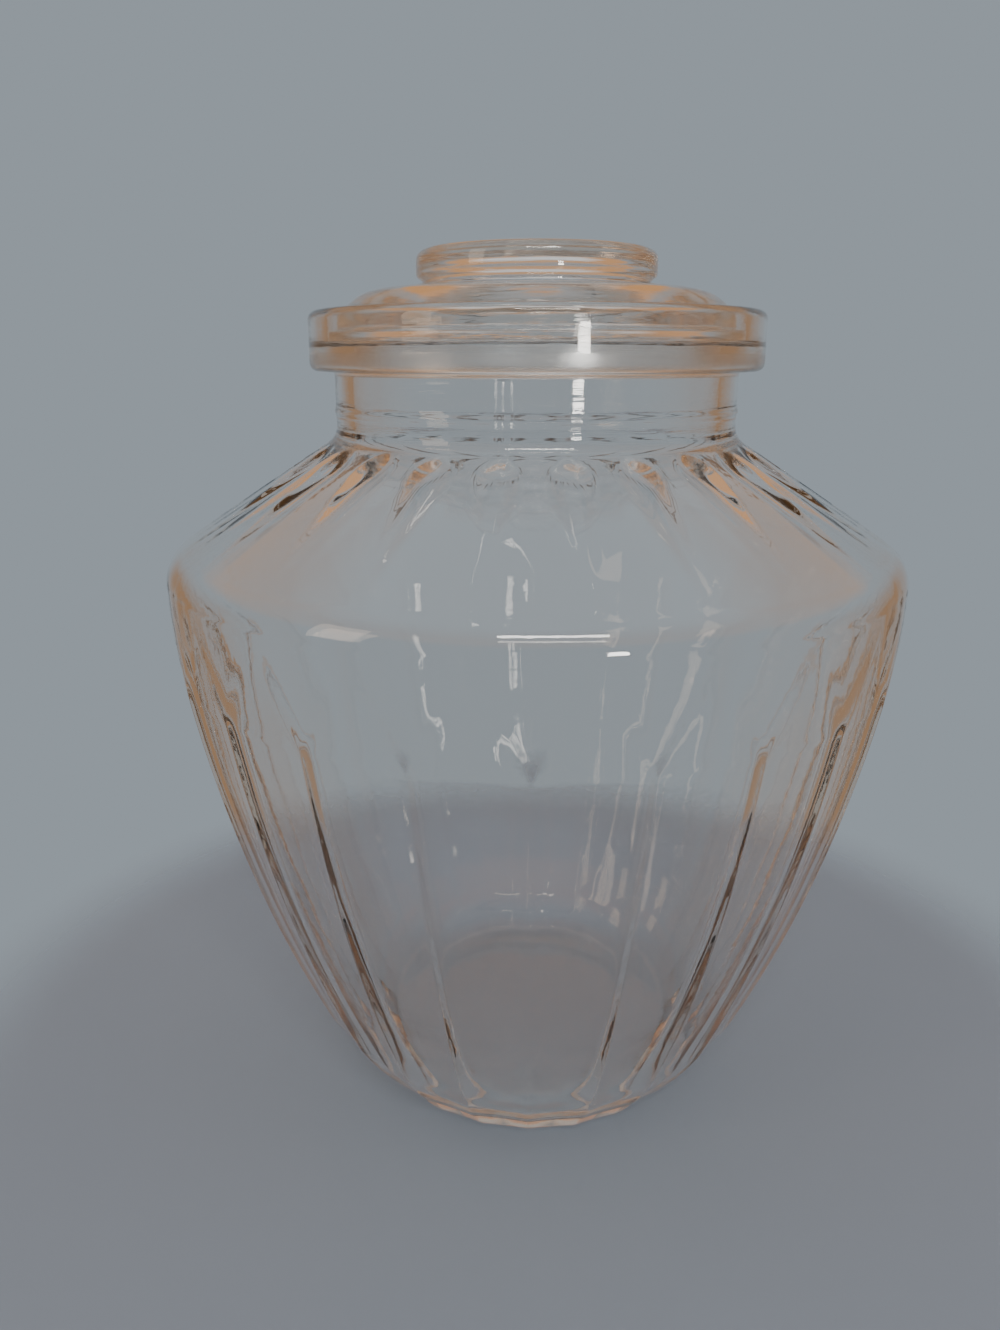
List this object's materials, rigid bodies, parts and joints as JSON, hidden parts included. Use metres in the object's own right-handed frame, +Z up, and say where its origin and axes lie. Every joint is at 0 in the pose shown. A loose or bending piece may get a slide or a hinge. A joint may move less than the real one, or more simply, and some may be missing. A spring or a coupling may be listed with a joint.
{
  "type": "glass canister",
  "caption": "Clear glass jar with a panelled body, fluted shoulder and thick collar, closed by a loose hollow glass lid with a wide knob.",
  "frame": {"origin": "centre of the foot, on the surface that the jar stands on", "axes": "+Z up along the jar's axis, out of the mouth; +X and +Y level, with a ridge between two panels facing -Y"},
  "size_m": [0.21, 0.21, 0.2512],
  "materials": {
    "jar_glass": "clear pressed glass, gloss",
    "lid_glass": "clear pressed glass, gloss"
  },
  "bodies": {
    "jar": {"jar": "jar_glass"},
    "lid": {"lid": "lid_glass"}
  },
  "joints": [
    {"name": "lid_lift", "type": "slide", "parent": "jar", "child": "lid", "axis": [0, 0, 1], "range_m": [0, 0.15]}
  ]
}
